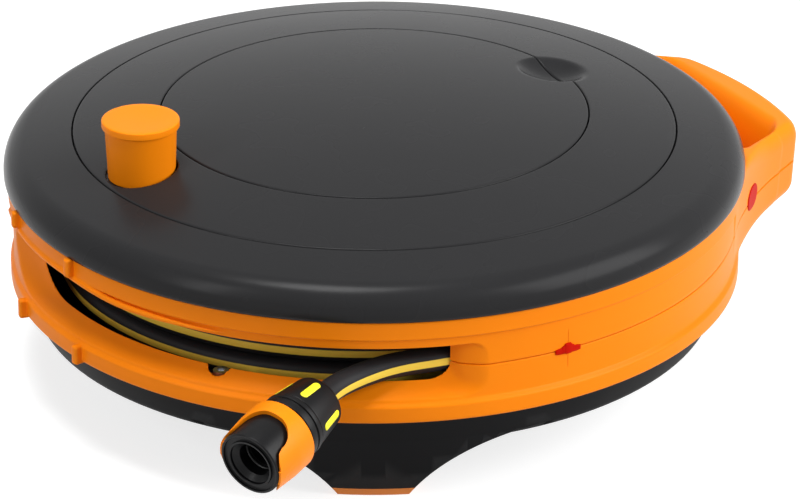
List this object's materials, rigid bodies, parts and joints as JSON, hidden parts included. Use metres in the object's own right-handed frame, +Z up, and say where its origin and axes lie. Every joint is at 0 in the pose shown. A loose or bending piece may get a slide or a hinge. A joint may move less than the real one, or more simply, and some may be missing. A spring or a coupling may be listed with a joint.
{
  "type": "hose reel",
  "caption": "Low round garden hose reel on three feet, with a side slot for the hose, a domed cover with a crank knob, a storage lid, a carrying handle and a quick connector.",
  "frame": {"origin": "on the floor under the drum's axis", "axes": "+Z up along the drum's axis, +X towards the carrying handle"},
  "size_m": [0.4353, 0.405, 0.1652],
  "materials": {
    "casing_plastic": "satin moulded, fine texture",
    "knob_plastic": "smooth moulded",
    "foot_plastic": "matt moulded",
    "cover_plastic": "fine eroded texture, satin",
    "base_plastic": "matt moulded",
    "drum_plastic": "matt moulded",
    "fitting_plastic": "satin moulded",
    "clip_plastic": "smooth moulded",
    "hose_rubber": "satin, with a yellow stripe",
    "inlay_rubber": "matt soft inlay",
    "seal_rubber": "matt",
    "screw_steel": "zinc plated",
    "bush_brass": "turned"
  },
  "bodies": {
    "casing": {"base_shell": "base_plastic", "foot_pads": "foot_plastic", "lower_casing": "casing_plastic", "upper_casing": "casing_plastic", "side_clips": "clip_plastic", "handle_clips": "clip_plastic", "casing_screws": "screw_steel", "cover_rim": "cover_plastic", "cover_screws": "screw_steel", "inlet_elbow": "fitting_plastic", "inlet_screws": "screw_steel", "inlet_seal": "seal_rubber", "thrust_washer": "screw_steel", "spindle_seals": "seal_rubber", "spindle_clip": "screw_steel", "hose_lead": "hose_rubber", "connector_body": "fitting_plastic", "connector_seal": "seal_rubber", "connector_collet": "fitting_plastic", "connector_nut": "fitting_plastic", "nut_grips": "inlay_rubber", "collar_spring": "screw_steel"},
    "drum": {"drum_lower": "drum_plastic", "drum_upper": "drum_plastic", "drum_bush": "bush_brass", "drum_screws": "screw_steel", "outlet_elbow": "fitting_plastic", "hose_tail": "hose_rubber", "hose_clamp": "screw_steel", "hose_pack": "hose_rubber", "hose_winding": "hose_rubber", "crank_disc": "cover_plastic", "crank_screws": "screw_steel", "compartment_bowl": "drum_plastic"},
    "knob": {"knob": "knob_plastic", "knob_washer": "screw_steel", "knob_screw": "screw_steel"},
    "accessory_lid": {"accessory_lid": "cover_plastic"},
    "release_collar": {"release_collar": "knob_plastic"}
  },
  "joints": [
    {"name": "drum_spin", "type": "hinge", "parent": "casing", "child": "drum", "pos_m": [0, 0, 0.0435], "axis": [0, 0, 1], "continuous": true},
    {"name": "knob_spin", "type": "hinge", "parent": "drum", "child": "knob", "pos_m": [-0.137, 0, 0.15], "axis": [0, 0, 1], "continuous": true},
    {"name": "lid_lift", "type": "slide", "parent": "drum", "child": "accessory_lid", "axis": [0, 0, 1], "range_m": [0, 0.06]},
    {"name": "collar_slide", "type": "slide", "parent": "casing", "child": "release_collar", "axis": [0.8893, 0.4223, 0.1754], "range_m": [0, 0.004], "stiffness_N_per_m": 900, "springref_m": -0.003, "deforming": ["collar_spring"]}
  ]
}
